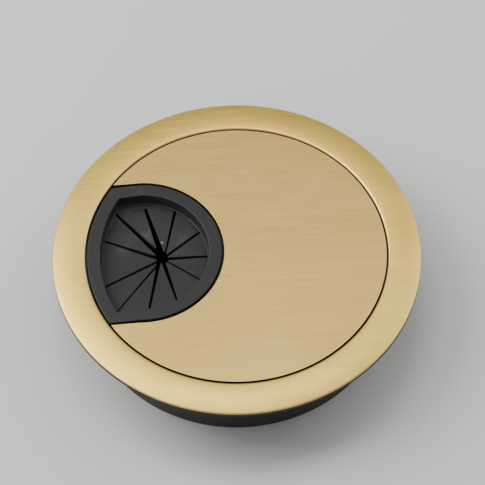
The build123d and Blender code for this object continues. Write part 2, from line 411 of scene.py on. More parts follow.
def notch_wire(name, half, edge_r, height, shift, inside=True, rounding=0.0):
    """The outline of the notch at this height, as a wire in edit mode.

    It runs along the circle of edge_r and then round an arch of the given half-width,
    whose centre lies off the middle line by the shift.
    With inside=False it goes the long way round the circle, as the cap's edge does."""
    lean = math.asin(half / edge_r)
    mouth_x = -edge_r * math.cos(lean)
    piece = first_point(name, (mouth_x, -half, height))
    if inside:
        sweep(-2 * lean, ARC_STEPS)
    else:
        sweep(math.tau - 2 * lean, TURN_STEPS - ARC_STEPS)
    push((arch_x() - mouth_x, shift, 0))
    sweep(-math.pi, ARCH_STEPS, (arch_x(), shift, height))
    pick_at((mouth_x, -half, height), (arch_x(), shift - half, height))
    bpy.ops.mesh.edge_face_add()
    if rounding:
        pick_at((mouth_x, -half, height), (mouth_x, half, height))
        bpy.ops.mesh.bevel(offset=rounding, segments=ROUND_STEPS, affect="VERTICES", clamp_overlap=False)
    bpy.ops.mesh.select_all(action="SELECT")
    return piece


def horseshoe_wire(name, inner, outer, edge_r, height, shift, end_x=None):
    """The outline of a band around the arch, from the inner to the outer half-width.

    The inner arch's centre lies off the middle line by the shift.
    The band's ends follow the circle of edge_r, or are cut straight at end_x."""
    inner_lean, outer_lean = math.asin(inner / edge_r), math.asin(outer / edge_r)
    if end_x is None:
        inner_x, outer_x = -edge_r * math.cos(inner_lean), -edge_r * math.cos(outer_lean)
    else:
        inner_x = outer_x = end_x

    def draw_end():
        if end_x is None:
            sweep(inner_lean - outer_lean, ROUND_STEPS)
        else:
            push((0, outer - inner, 0))

    piece = first_point(name, (inner_x, inner, height))
    draw_end()
    push((arch_x() - outer_x, 0, 0))
    sweep(-math.pi, ARCH_STEPS, (arch_x(), 0, height))
    push((outer_x - arch_x(), 0, 0))
    draw_end()
    push((arch_x() - inner_x, shift, 0))
    sweep(math.pi, ARCH_STEPS, (arch_x(), shift, height))
    pick_at((inner_x, inner, height), (arch_x(), inner + shift, height))
    bpy.ops.mesh.edge_face_add()
    bpy.ops.mesh.select_all(action="SELECT")
    return piece


def fill_and_push(step):
    """Fills the wire, extrudes the face and turns the shell outwards."""
    bpy.ops.mesh.select_all(action="SELECT")
    bpy.ops.mesh.edge_face_add()
    push(step)
    tidy_shell()


def rod(name, radius, place, bottom, top, round_low=0.0, sides=ROD_SIDES):
    """A round bar whose lower end may be rounded, in object mode."""
    clear_selection()
    middle = (place[0], place[1], (bottom + top) / 2)
    bpy.ops.mesh.primitive_cylinder_add(vertices=sides, radius=radius, depth=top - bottom, location=middle)
    piece = take_new(name)
    if round_low:
        edit(piece)
        soften_level(bottom, round_low)
        leave()
    return piece


def block(name, inner, outer, width, bottom, top, turn, rounding=0.0):
    """A block that lies across the radius at this angle, in object mode."""
    clear_selection()
    bpy.ops.mesh.primitive_cube_add(size=1, location=((inner + outer) / 2, 0, (bottom + top) / 2))
    bpy.context.object.scale = (outer - inner, width, top - bottom)
    piece = take_new(name)
    if rounding:
        bpy.ops.object.mode_set(mode="EDIT")
        bpy.ops.mesh.select_all(action="SELECT")
        soften(rounding)
        leave()
    piece.rotation_euler = (0, 0, turn)
    settle()
    return piece


def copy(piece, turn=0.0, step=(0, 0, 0)):
    """A copy with its own mesh, turned about the Z axis and moved."""
    take(piece)
    bpy.ops.object.duplicate(linked=False)
    made = bpy.context.object
    made.rotation_euler = (0, 0, turn)
    made.location = step
    settle()
    return made


def around(piece, count):
    """The piece and its copies, equally spaced about the Z axis."""
    return [piece] + [copy(piece, turn=math.tau * number / count) for number in range(1, count)]


def copy_to(piece, places):
    """The piece, which stands at the first place, and its copies at the others."""
    x, y = places[0]
    return [piece] + [copy(piece, step=(other_x - x, other_y - y, 0)) for other_x, other_y in places[1:]]


def join(piece, others):
    take(piece)
    for other in others:
        other.select_set(True)
    if others:
        bpy.ops.object.join()
    return piece


def carve(piece, tools, operation="DIFFERENCE"):
    """Cuts the tools out of a piece, or adds them to it, and removes the tools."""
    tool = join(tools[0], tools[1:])
    cut = piece.modifiers.new("Carve", "BOOLEAN")
    cut.operation = operation
    cut.solver = "MANIFOLD"
    cut.object = tool
    apply_modifier(piece, cut)
    remove(tool)
    edit(piece)
    tidy_shell()
    leave()


def finish_piece(piece, material, body, *stands_for):
    """Smooths a piece, gives it its finish and hands it to its body."""
    take(piece)
    bpy.ops.object.shade_smooth_by_angle(angle=SMOOTH_ANGLE)
    even = piece.modifiers.new("Even shading", "WEIGHTED_NORMAL")
    even.keep_sharp = True
    apply_modifier(piece, even)
    piece.data.materials.clear()
    piece.data.materials.append(bpy.data.materials[material])
    if body:
        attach(piece, body)
    if stands_for:
        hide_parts(*stands_for)
    return piece


# ---- Finishes --------------------------------------------------------------------

def feed(tree, node, feeds):
    """Sets a node's inputs to values, or links them."""
    for key, value in feeds.items():
        if isinstance(value, bpy.types.NodeSocket):
            tree.links.new(value, node.inputs[key])
        else:
            node.inputs[key].default_value = value


def add(tree, kind, feeds=None, **settings):
    """Adds a node, sets its inputs and returns the node."""
    made = tree.nodes.new(kind)
    for key, value in settings.items():
        setattr(made, key, value)
    feed(tree, made, feeds or {})
    return made


def math_node(tree, operation, first, second=0.0, third=0.0):
    return add(tree, "ShaderNodeMath", {0: first, 1: second, 2: third}, operation=operation).outputs[0]


def ramp(tree, value, low, high, to_low=0.0, to_high=1.0):
    """Maps a range of values smoothly onto another range."""
    feeds = {"Value": value, "From Min": low, "From Max": high, "To Min": to_low, "To Max": to_high}
    return add(tree, "ShaderNodeMapRange", feeds, interpolation_type="SMOOTHSTEP").outputs["Result"]


def blend_colour(tree, factor, first, second):
    feeds = {0: factor, 6: first, 7: second}
    return add(tree, "ShaderNodeMix", feeds, data_type="RGBA").outputs[2]


def noise(tree, vector, scale, detail=2.0, roughness=0.5):
    feeds = {"Vector": vector, "Scale": scale, "Detail": detail, "Roughness": roughness}
    return add(tree, "ShaderNodeTexNoise", feeds).outputs[0]


def stretch(tree, vector, scale, turn=0.0):
    feeds = {"Vector": vector, "Scale": scale, "Rotation": (0.0, 0.0, turn)}
    return add(tree, "ShaderNodeMapping", feeds).outputs[0]


def new_group(name, vector, numbers, gives):
    """A shader node group that takes a vector and some numbers, and puts out numbers.

    Returns the group, the sockets that it takes and its output node."""
    group = bpy.data.node_groups.new(name, "ShaderNodeTree")
    group.interface.new_socket(name=vector, in_out="INPUT", socket_type="NodeSocketVector")
    for label, default in numbers.items():
        socket = group.interface.new_socket(name=label, in_out="INPUT", socket_type="NodeSocketFloat")
        socket.default_value = default
    for label in gives:
        group.interface.new_socket(name=label, in_out="OUTPUT", socket_type="NodeSocketFloat")
    return group, group.nodes.new("NodeGroupInput").outputs, group.nodes.new("NodeGroupOutput")


def make_brush_lines():
    """Long brush lines along X: fine ones, and broader streaks."""
    group, taken, out = new_group("Brush Lines", "Vector", {}, ("Lines", "Streaks", "Cloud"))
    vector = taken["Vector"]
    fine = noise(group, stretch(group, vector, (75, 5200, 5200)), 1.0, 2.0, 0.6)
    hair = noise(group, stretch(group, vector, (160, 2600, 2600)), 1.0, 1.0)
    broad = noise(group, stretch(group, vector, (45, 1150, 1150)), 1.0, 2.5, 0.6)
    cloud = noise(group, stretch(group, vector, (26, 60, 60)), 1.0, 2.0)
    lines = math_node(group, "MULTIPLY_ADD", hair, 0.35, math_node(group, "MULTIPLY", fine, 0.65))
    feed(group, out, {
        "Lines": ramp(group, lines, 0.30, 0.70),
        "Streaks": ramp(group, broad, 0.28, 0.72),
        "Cloud": ramp(group, cloud, 0.30, 0.70),
    })


def make_moulded_grain():
    """The fine texture and slow mottling of a moulded surface."""
    group, taken, out = new_group("Moulded Grain", "Vector", {"Grain": 2600.0}, ("Height", "Mottle"))
    vector = taken["Vector"]
    grain = noise(group, vector, taken["Grain"], 3.0, 0.6)
    mottle = ramp(group, noise(group, vector, 130.0, 4.0, 0.6), 0.34, 0.68)
    feed(group, out, {"Height": grain, "Mottle": mottle})


def make_dust():
    """Loose specks and soft chalky marks."""
    group, taken, out = new_group("Dust", "Vector", {"Specks": 260.0}, ("Specks", "Chalk"))
    vector = taken["Vector"]
    cells = add(group, "ShaderNodeTexVoronoi", {"Vector": vector, "Scale": taken["Specks"]})
    near = ramp(group, cells.outputs["Distance"], 0.045, 0.10, 1.0, 0.0)
    split = add(group, "ShaderNodeSeparateColor", {0: cells.outputs["Color"]})
    chosen = ramp(group, split.outputs[0], 0.90, 0.94)
    specks = math_node(group, "MULTIPLY", near, chosen)
    soft = noise(group, vector, 210.0, 5.0, 0.62)
    patch = noise(group, vector, 70.0, 1.0)
    chalk = math_node(group, "MULTIPLY", ramp(group, soft, 0.50, 0.78), ramp(group, patch, 0.46, 0.66))
    feed(group, out, {"Specks": specks, "Chalk": chalk})


# Its Edge mask marks worn edges and painted highlights; its Wall mask marks patina on the brass and painted
# light on the rubber.
def make_edge_and_wall_masks():
    """Where a surface turns: its rounded edges, and the walls below them."""
    group, taken, out = new_group("Edge And Wall Masks", "Normal", {}, ("Edge", "Wall"))
    flat = add(group, "ShaderNodeSeparateXYZ", {0: taken["Normal"]}).outputs["Z"]
    turning = ramp(group, flat, 0.93, 0.985, 1.0, 0.0)
    upper = ramp(group, flat, 0.30, 0.60)
    edge = math_node(group, "MULTIPLY", turning, upper)
    feed(group, out, {"Edge": edge, "Wall": ramp(group, flat, 0.15, 0.50, 1.0, 0.0)})


def make_radius():
    """The distance from the Z axis, and the height."""
    group, taken, out = new_group("Radius", "Vector", {}, ("Radius", "Height"))
    parts = add(group, "ShaderNodeSeparateXYZ", {0: taken["Vector"]}).outputs
    level = add(group, "ShaderNodeCombineXYZ", {0: parts["X"], 1: parts["Y"]})
    reach = add(group, "ShaderNodeVectorMath", {0: level.outputs[0]}, operation="LENGTH")
    feed(group, out, {"Radius": reach.outputs["Value"], "Height": parts["Z"]})


def use_group(tree, name, feeds):
    group = bpy.data.node_groups[name]
    return add(tree, "ShaderNodeGroup", feeds, node_tree=group).outputs


def new_material(name, **constants):
    """A material with a Principled shader whose constants are set on its own sockets."""
    material = bpy.data.materials.new(name)
    material.use_nodes = True
    tree = material.node_tree
    tree.nodes.clear()
    shader = tree.nodes.new("ShaderNodeBsdfPrincipled")
    for label, value in constants.items():
        shader.inputs[label.replace("_", " ")].default_value = value
    out = tree.nodes.new("ShaderNodeOutputMaterial")
    tree.links.new(shader.outputs[0], out.inputs[0])
    coordinates = tree.nodes.new("ShaderNodeTexCoord").outputs
    return tree, shader, coordinates["Object"], coordinates["Normal"]


def bump(tree, shader, height, strength, distance):
    made = add(tree, "ShaderNodeBump", {"Height": height, "Strength": strength, "Distance": distance})
    tree.links.new(made.outputs[0], shader.inputs["Normal"])


def solid(value, tone=(1.0, 1.0, 1.0)):
    """A colour for a socket, with its channels multiplied by the tone."""
    return (*(channel * share for channel, share in zip(value, tone)), 1.0)


def shade(value, share):
    return solid(value, (share, share, share))


def over(tree, body, mask, share, colour_on_top):
    """Lays a colour over the body by a share of the mask."""
    return blend_colour(tree, math_node(tree, "MULTIPLY", mask, share), body, solid(colour_on_top))


def make_brass(name, turn, polish_and_highlight_from, polish_and_highlight_to, tarnish, tone):
    """Antique brushed brass: streaks along X, dark walls, edges rubbed bare and given a painted highlight.
    """
    finish = sizes("finish")
    tree, shader, place, normal = new_material(name, Metallic=1.0)
    lined = stretch(tree, place, (1, 1, 1), math.radians(-turn))
    brush = use_group(tree, "Brush Lines", {"Vector": lined})
    slope_masks = use_group(tree, "Edge And Wall Masks", {"Normal": normal})
    where = use_group(tree, "Radius", {"Vector": place})
    dust = use_group(tree, "Dust", {"Vector": place, "Specks": 120.0})
    mixed = math_node(tree, "MULTIPLY", brush["Lines"], 0.35)
    mixed = math_node(tree, "MULTIPLY_ADD", brush["Streaks"], 0.35, mixed)
    mixed = math_node(tree, "MULTIPLY_ADD", brush["Cloud"], 0.30, mixed)
    body = blend_colour(tree, mixed, solid(finish.brass_dark, tone), solid(finish.brass_light, tone))
    # Painted highlight: the outer band and the rounded edges take the polished colour, partly as wear and
    # partly as painted highlight.
    band = ramp(tree, where["Radius"], polish_and_highlight_from, polish_and_highlight_to)
    polish_and_highlight_mask = math_node(tree, "MAXIMUM", math_node(tree, "MULTIPLY", band, 0.15), slope_masks["Edge"])
    body = over(tree, body, polish_and_highlight_mask, 0.8, finish.polish_and_highlight)
    body = over(tree, body, dust["Specks"], tarnish, finish.patina)
    body = blend_colour(tree, slope_masks["Wall"], body, solid(finish.patina))
    rough = math_node(tree, "MULTIPLY_ADD", brush["Lines"], 0.10, 0.40)
    rough = math_node(tree, "MULTIPLY_ADD", polish_and_highlight_mask, -0.06, rough)
    rough = math_node(tree, "MULTIPLY_ADD", slope_masks["Wall"], 0.2, rough)
    metal = math_node(tree, "MULTIPLY_ADD", slope_masks["Wall"], -0.6, 1.0)
    feed(tree, shader, {"Base Color": body, "Roughness": rough, "Metallic": metal})
    height = math_node(tree, "MULTIPLY_ADD", brush["Streaks"], 0.5, brush["Lines"])
    bump(tree, shader, height, 0.35, 0.00002)


def make_rubber():
    """Moulded rubber: fine grain, chalky marks, a painted highlight along the rim's rounded edges and
    painted light on its walls.
    """
    finish = sizes("finish")
    tree, shader, place, normal = new_material("Black Rubber", Specular_IOR_Level=0.35)
    grain = use_group(tree, "Moulded Grain", {"Vector": place, "Grain": 2400.0})
    dust = use_group(tree, "Dust", {"Vector": place, "Specks": 210.0})
    slope_masks = use_group(tree, "Edge And Wall Masks", {"Normal": normal})
    body = blend_colour(tree, grain["Mottle"], shade(finish.rubber, 0.72), solid(finish.rubber))
    where = use_group(tree, "Radius", {"Vector": place})
    # Painted highlight: the rounded edges of the rim, above 0.8 mm, take a little of the dust colour.
    rim_highlight_share = ramp(tree, where["Height"], 0.8 * MM, 1.3 * MM, 0.0, 0.05)
    body = over(tree, body, slope_masks["Edge"], rim_highlight_share, finish.dust)
    # Painted light: the rubber's walls are painted 1.7 times lighter, to lift the shade in the recess.
    body = blend_colour(tree, slope_masks["Wall"], body, shade(finish.rubber, 1.7))
    body = over(tree, body, dust["Chalk"], 0.10, finish.dust)
    body = over(tree, body, dust["Specks"], 0.4, finish.dust)
    rough = math_node(tree, "MULTIPLY_ADD", grain["Mottle"], 0.10, 0.50)
    rough = math_node(tree, "MULTIPLY_ADD", dust["Chalk"], 0.2, rough)
    feed(tree, shader, {"Base Color": body, "Roughness": rough})
    bump(tree, shader, grain["Height"], 0.25, 0.00004)


def make_plastic():
    """Moulded plastic with a slight sheen."""
    finish = sizes("finish")
    tree, shader, place = new_material("Black Plastic", Specular_IOR_Level=0.5)[:3]
    grain = use_group(tree, "Moulded Grain", {"Vector": place, "Grain": 1500.0})
    dust = use_group(tree, "Dust", {"Vector": place, "Specks": 160.0})
    body = blend_colour(tree, grain["Mottle"], solid(finish.plastic), shade(finish.plastic, 1.8))
    body = over(tree, body, dust["Chalk"], 0.05, finish.dust)
    rough = math_node(tree, "MULTIPLY_ADD", grain["Mottle"], 0.12, 0.34)
    feed(tree, shader, {"Base Color": body, "Roughness": rough})
    bump(tree, shader, grain["Height"], 0.30, 0.00005)


def make_zinc():
    """Zinc-plated steel with a faint cloudy passivation."""
    finish = sizes("finish")
    tree, shader, place = new_material("Zinc Steel", Metallic=1.0)[:3]
    grain = use_group(tree, "Moulded Grain", {"Vector": place, "Grain": 3000.0})
    body = blend_colour(tree, grain["Mottle"], shade(finish.zinc, 0.7), solid(finish.zinc))
    rough = math_node(tree, "MULTIPLY_ADD", grain["Mottle"], 0.18, 0.28)
    feed(tree, shader, {"Base Color": body, "Roughness": rough})
    bump(tree, shader, grain["Height"], 0.20, 0.00003)


class GROMMET_OT_finishes(bpy.types.Operator):
    """Mix the finishes that the pieces take"""

    bl_idname = "grommet.finishes"
    bl_label = "Mix finishes"

    def execute(self, context):
        make_brush_lines()
        make_moulded_grain()
        make_dust()
        make_edge_and_wall_masks()
        make_radius()
        # Painted light and shade: the same brass is made a little lighter on the ring and darker on the cap,
        # for how brightly each catches the lights.
        make_brass("Brass Ring", 3.0, RING_R - 0.8 * MM, RING_R, 0.5, (1.04, 1.04, 0.98))
        make_brass("Brass Cap", 2.0, CAP_R - 0.5 * MM, CAP_R, 0.0, (0.82, 0.80, 1.02))
        make_rubber()
        make_plastic()
        make_zinc()
        return {"FINISHED"}


# ---- Pieces ----------------------------------------------------------------------

def dome_points(peak_r, peak_z, inner_r, edge_r, edge_z, count):
    """Points on the arc of the ring's dome, from the bore to the outer edge."""
    reach = edge_r - peak_r
    drop = peak_z - edge_z
    dome_r = (reach ** 2 + drop ** 2) / (2 * drop)
    points = []
    for step in range(count + 1):
        radius = inner_r + (edge_r - inner_r) * step / count
        height = peak_z - dome_r + math.sqrt(dome_r ** 2 - (radius - peak_r) ** 2)
        points.append((radius, height))
    return points


def peg_place():
    """Where the first peg stands. The others follow around the Z axis."""
    ring = sizes("ring")
    turn = math.pi / ring.peg_count
    return ring.peg_circle * math.cos(turn), ring.peg_circle * math.sin(turn)


class GROMMET_OT_trim_ring(bpy.types.Operator):
    """Turn the domed trim ring and set its pegs under it"""

    bl_idname = "grommet.trim_ring"
    bl_label = "Trim ring"

    def execute(self, context):
        ring = sizes("ring")
        bore = CAP_R + ring.gap
        arc = dome_points(bore + ring.peak_in, RING_HIGH.z, bore, RING_R, ring.edge_height, DOME_STEPS)
        section = [(bore, FLANGE_TOP, ring.foot_round), (*arc[0], ring.lip_round)]
        # the dome's own points start clear of the lip's rounding
        clear = bore + 1.3 * ring.lip_round
        section += [(radius, height, 0) for radius, height in arc[1:-1] if radius > clear]
        section += [
            (*arc[-1], ring.edge_round),
            (RING_R, RING_LOW.z, ring.foot_round),
            (RING_R - ring.rim_width, RING_LOW.z, ring.foot_round),
            (RING_R - ring.rim_width, FLANGE_TOP, 0),
        ]
        piece = turned("Trim_ring", section)
        peg_top = FLANGE_TOP + ring.peg_radius / 4
        peg = rod("Peg", ring.peg_radius, peg_place(), ring.peg_up, peg_top, round_low=ring.foot_round)
        carve(piece, around(peg, ring.peg_count), "UNION")
        finish_piece(piece, "Brass Ring", "base", "trim_ring")
        return {"FINISHED"}


NIB_COUNT = 4


class GROMMET_OT_sleeve(bpy.types.Operator):
    """Turn the sleeve with its flange and ledge, and add its snap nibs"""

    bl_idname = "grommet.sleeve"
    bl_label = "Sleeve"

    def execute(self, context):
        sleeve = sizes("sleeve")
        ring = sizes("ring")
        bore = sleeve.radius - sleeve.wall
        ledge_r = TURNTABLE_R - sleeve.turntable_wall
        ledge_top = TURNTABLE_LOW.z
        flange_bore = CAP_R + ring.gap
        edge = sleeve.soften
        section = [
            (bore, SLEEVE_FOOT, sleeve.foot_round / 2),
            (sleeve.radius, SLEEVE_FOOT, sleeve.foot_round),
            (sleeve.radius, 0, edge),
            (FLANGE_R, 0, edge),
            (FLANGE_R, FLANGE_TOP, edge),
            (flange_bore, FLANGE_TOP, edge),
            (flange_bore, 0, 0),
            (bore, 0, edge),
            (bore, ledge_top, edge),
            (ledge_r, ledge_top, edge),
            (ledge_r, ledge_top - sleeve.ledge, edge),
            (bore, ledge_top - sleeve.ledge, edge),
        ]
        piece = turned("Sleeve", section)
        groove_middle = ledge_top + sleeve.groove_up + sleeve.groove_width / 2
        low = groove_middle - sleeve.nib_height / 2
        high = groove_middle + sleeve.nib_height / 2
        tip = bore - sleeve.nib_reach
        nib = draw_section(
            "Nib", [(tip, low, edge), (tip, high, edge), (bore + edge, high, 0), (bore + edge, low, 0)]
        )
        bpy.ops.mesh.edge_face_add()
        sweep(sleeve.nib_span, NIB_STEPS)
        tidy_shell()
        leave()
        nib.rotation_euler = (0, 0, math.pi / NIB_COUNT - sleeve.nib_span / 2)
        take(nib)
        settle()
        carve(piece, around(nib, NIB_COUNT), "UNION")
        drill = rod("Drill", ring.peg_radius + DRILL_FIT, peg_place(), -PAST, FLANGE_TOP + PAST)
        carve(piece, around(drill, ring.peg_count))
        finish_piece(piece, "Black Plastic", "base", "sleeve")
        return {"FINISHED"}


KEY_TURNS = [math.radians(turn) for turn in (45, 110, -110, -45)]


class GROMMET_OT_turntable(bpy.types.Operator):
    """Turn the turntable with its groove, and cut the slots for the cap's keys"""

    bl_idname = "grommet.turntable"
    bl_label = "Turntable"

    def execute(self, context):
        sleeve = sizes("sleeve")
        cap = sizes("cap")
        edge = sleeve.soften
        low = TURNTABLE_LOW.z
        foot = low + sleeve.seat_gap
        inner = TURNTABLE_R - sleeve.turntable_wall
        groove_r = TURNTABLE_R - sleeve.groove_depth
        groove_low = low + sleeve.groove_up
        groove_high = groove_low + sleeve.groove_width
        section = [
            (inner, foot, edge),
            (TURNTABLE_R, foot, edge),
            (TURNTABLE_R, groove_low, edge),
            (groove_r, groove_low, edge),
            (groove_r, groove_high, edge),
            (TURNTABLE_R, groove_high, edge),
            (TURNTABLE_R, CAP_UNDER, edge),
            (inner, CAP_UNDER, edge),
        ]
        piece = turned("Turntable", section)
        slot_low = CAP_UNDER - cap.key_height - cap.key_gap
        slot_width = cap.key_width + 2 * cap.key_gap
        across = (inner - PAST, TURNTABLE_R + PAST, slot_width, slot_low, CAP_TOP)
        carve(piece, [block("Slot", *across, turn) for turn in KEY_TURNS])
        finish_piece(piece, "Black Plastic", "turntable", "turntable")
        return {"FINISHED"}


SCREW_COUNT = 5


def boss_places():
    """Places of the screw bosses around the notch's arch."""
    cap = sizes("cap")
    circle = cap.notch_radius + cap.boss_out
    turns = [cap.boss_span * (number / (SCREW_COUNT - 1) - 0.5) for number in range(SCREW_COUNT)]
    return [(arch_x() + circle * math.cos(turn), circle * math.sin(turn)) for turn in turns]


def rods_at_bosses(name, radius, bottom, top, round_low=0.0):
    """Like rods, one at each boss: the first is modelled and the others are its copies."""
    places = boss_places()
    return copy_to(rod(name, radius, places[0], bottom, top, round_low=round_low), places)


class GROMMET_OT_cap(bpy.types.Operator):
    """Cut the cap with its notch, and add the keys and bosses under it"""

    bl_idname = "grommet.cap"
    bl_label = "Cap"

    def execute(self, context):
        cap = sizes("cap")
        outline = (cap.notch_radius, CAP_R, CAP_TOP, cap.notch_shift)
        piece = notch_wire("Cap", *outline, inside=False, rounding=NOTCH_CORNER)
        fill_and_push((0, 0, CAP_UNDER - CAP_TOP))
        soften_level(CAP_TOP, cap.edge_round, 4)
        soften_level(CAP_UNDER, cap.edge_round / 2, 2)
        leave()
        bosses = rods_at_bosses("Boss", cap.boss_radius, LIP_UNDER, CAP_UNDER + INTO, round_low=MOULD_ROUND)
        key_outer = TURNTABLE_R - KEY_BACK
        key_inner = TURNTABLE_R - sizes("sleeve").turntable_wall - cap.key_in
        across = (key_inner, key_outer, cap.key_width, CAP_UNDER - cap.key_height, CAP_UNDER + INTO)
        keys = [block("Key", *across, turn, rounding=MOULD_ROUND) for turn in KEY_TURNS]
        carve(piece, bosses + keys, "UNION")
        holes = rods_at_bosses("Hole", cap.screw_radius, LIP_UNDER - PAST, SCREW_HIGH.z)
        carve(piece, holes)
        finish_piece(piece, "Brass Cap", "cap", "cap_plate")
        return {"FINISHED"}


def seal_outline(inset):
    """Half-width and edge radius of the seal's outline, this far in from its rim."""
    cap = sizes("cap")
    seal = sizes("seal")
    return cap.notch_radius - seal.gap - inset, CAP_R - seal.edge_gap - inset


def depth_in(place):
    """How far a point lies inside the outline of the seal's rim."""
    seal = sizes("seal")
    half, edge_r = seal_outline(0)
    from_edge = edge_r - math.hypot(place.x, place.y)
    if place.x > arch_x():
        from_side = half - math.hypot(place.x - arch_x(), place.y - seal.shift)
    else:
        inner_half, inner_edge = seal_outline(seal.rim_width)
        mouth_x = -math.sqrt(inner_edge ** 2 - inner_half ** 2)
        along = max(0.0, (place.x - mouth_x) / (arch_x() - mouth_x))
        from_side = half - abs(place.y - seal.shift * along)
    return min(from_edge, from_side)


# Each slit: where it ends towards the wall and towards the middle, in millimetres, then
# its width at those two ends, as a factor of the slit width. No two slits are alike.
SLITS = (
    ((-7.08, 1.30), (-17.80, 0.92), 0.45, 0.70),
    ((-8.70, 9.48), (-17.98, 2.03), 0.45, 0.60),
    ((-15.87, 15.85), (-18.43, 2.98), 0.55, 0.35),
    ((-23.75, 16.47), (-19.70, 3.32), 0.60, 1.20),
    ((-31.88, 15.33), (-20.89, 3.18), 0.45, 1.10),
    ((-34.41, 6.43), (-21.28, 1.45), 0.40, 0.80),
    ((-33.81, -7.65), (-20.75, -0.06), 0.40, 0.55),
    ((-30.46, -14.87), (-20.87, -1.38), 0.28, 0.40),
    ((-22.44, -13.93), (-20.35, -1.39), 0.45, 0.75),
    ((-15.66, -11.27), (-18.64, -1.11), 0.42, 0.80),
    ((-9.70, -5.64), (-17.58, -0.18), 0.35, 0.35),
)
# These slits run on to the web, however far out they are measured.
LONG_SLITS = (6, 7, 8, 9, 10)


def slit_corners(height):
    """Where the slits end in the floor's web, at this height."""
    seal = sizes("seal")
    least = seal.rim_width + seal.slit_web
    corners = []
    for number, (outer, inner, *widths) in enumerate(SLITS):
        end = Vector((*outer, 0)) * MM
        step = (end - Vector((*inner, 0)) * MM).normalized() * NEAR
        while number in LONG_SLITS and depth_in(end) > least:
            end += step
        while depth_in(end) < least:
            end -= step
        corners.append(Vector((end.x, end.y, height)))
    return corners


class GROMMET_OT_seal(bpy.types.Operator):
    """Model the seal's rim, its recess with the web that holds the fins, and its lip"""

    bl_idname = "grommet.seal"
    bl_label = "Seal"

    def loop(self, inset, height, rounding, step):
        """A wall that follows the seal's outline this far in from its rim."""
        half, edge_r = seal_outline(inset)
        made = notch_wire("Loop", half, edge_r, height, sizes("seal").shift, rounding=rounding)
        push((0, 0, step))
        leave()
        return made

    def pick_loops(self, height, *insets):
        """Selects the edges at this height that follow the outline at any of the insets."""
        slack = 0.16 * MM

        def on_loop(edge):
            if not level_with(edge, height):
                return False
            depths = [depth_in(vertex.co) for vertex in edge.verts]
            return any(all(abs(depth - inset) < slack for depth in depths) for inset in insets)

        pick("EDGE", on_loop)

    def round_loop(self, height, inset, amount, steps=3):
        self.pick_loops(height, inset)
        bpy.ops.mesh.bevel(offset=amount, segments=steps, affect="EDGES", clamp_overlap=False)

    def execute(self, context):
        seal = sizes("seal")
        cap = sizes("cap")
        corner = seal.corner_round
        inner = seal.rim_width
        wall = seal.rim_width - seal.wall
        piece = self.loop(0, CAP_UNDER, corner, RIM_TOP - CAP_UNDER)
        piece.name = "Seal"
        loops = [
            self.loop(inner, RIM_TOP, corner / 2, FLOOR_TOP - RIM_TOP),
            self.loop(inner, FLOOR_UNDER, corner / 2, SEAL_FOOT - FLOOR_UNDER),
            self.loop(wall, SEAL_FOOT, corner / 2, CAP_UNDER - SEAL_FOOT),
        ]
        join(piece, loops)
        edit(piece)
        for height, first, second in ((RIM_TOP, 0, inner), (SEAL_FOOT, inner, wall), (CAP_UNDER, 0, wall)):
            self.pick_loops(height, first, second)
            bpy.ops.mesh.bridge_edge_loops()
        for height in (FLOOR_TOP, FLOOR_UNDER):
            self.pick_loops(height, inner)
            bpy.ops.mesh.edge_face_add()
        tidy_shell()
        self.round_loop(RIM_TOP, 0, seal.rim_round)
        self.round_loop(RIM_TOP, inner, seal.rim_round)
        self.round_loop(FLOOR_TOP, inner, seal.floor_fillet, 5)
        self.round_loop(SEAL_FOOT, wall, seal.rim_round)
        leave()
        opening = draw_line("Opening", slit_corners(FLOOR_UNDER - PAST))
        fill_and_push((0, 0, FLOOR_TOP - FLOOR_UNDER + 2 * PAST))
        leave()
        carve(piece, [opening])
        finish_piece(piece, "Black Rubber", "cap", "cable_seal")

        half = seal_outline(wall)[0]
        lip = horseshoe_wire("Seal_lip", half, LIP_HALF, seal.lip_edge, LIP_UNDER, seal.shift)
        fill_and_push((0, 0, CAP_UNDER - LIP_UNDER))
        soften_level(LIP_UNDER, LIP_ROUND, 2)
        leave()
        holes = rods_at_bosses("Hole", cap.boss_radius + cap.boss_gap, LIP_UNDER - PAST, CAP_UNDER + PAST)
        carve(lip, holes)
        finish_piece(lip, "Black Rubber", "cap")
        return {"FINISHED"}


class GROMMET_OT_clamp(bpy.types.Operator):
    """Cut the clamp that holds the seal's lip under the cap"""

    bl_idname = "grommet.clamp"
    bl_label = "Clamp"

    def execute(self, context):
        seal = sizes("seal")
        cap = sizes("cap")
        half = seal_outline(seal.rim_width - seal.wall - cap.clamp_gap)[0]
        end_x = arch_x() - cap.clamp_end
        low = CLAMP_LOW.z
        piece = horseshoe_wire("Clamp", half, LIP_HALF, seal.lip_edge, low, seal.shift, end_x)
        fill_and_push((0, 0, CLAMP_HIGH.z - low))
        cutter = rod("Cutter", seal.lip_edge, (0, 0), low - PAST, CLAMP_HIGH.z + PAST, sides=TURN_STEPS)
        carve(piece, [cutter], "INTERSECT")
        edit(piece)
        soften_level(low, CLAMP_ROUND, 2)
        leave()
        holes = rods_at_bosses("Hole", cap.screw_radius + DRILL_FIT, low - PAST, CLAMP_HIGH.z + PAST)
        carve(piece, holes)
        finish_piece(piece, "Black Plastic", "cap", "seal_clamp")
        return {"FINISHED"}


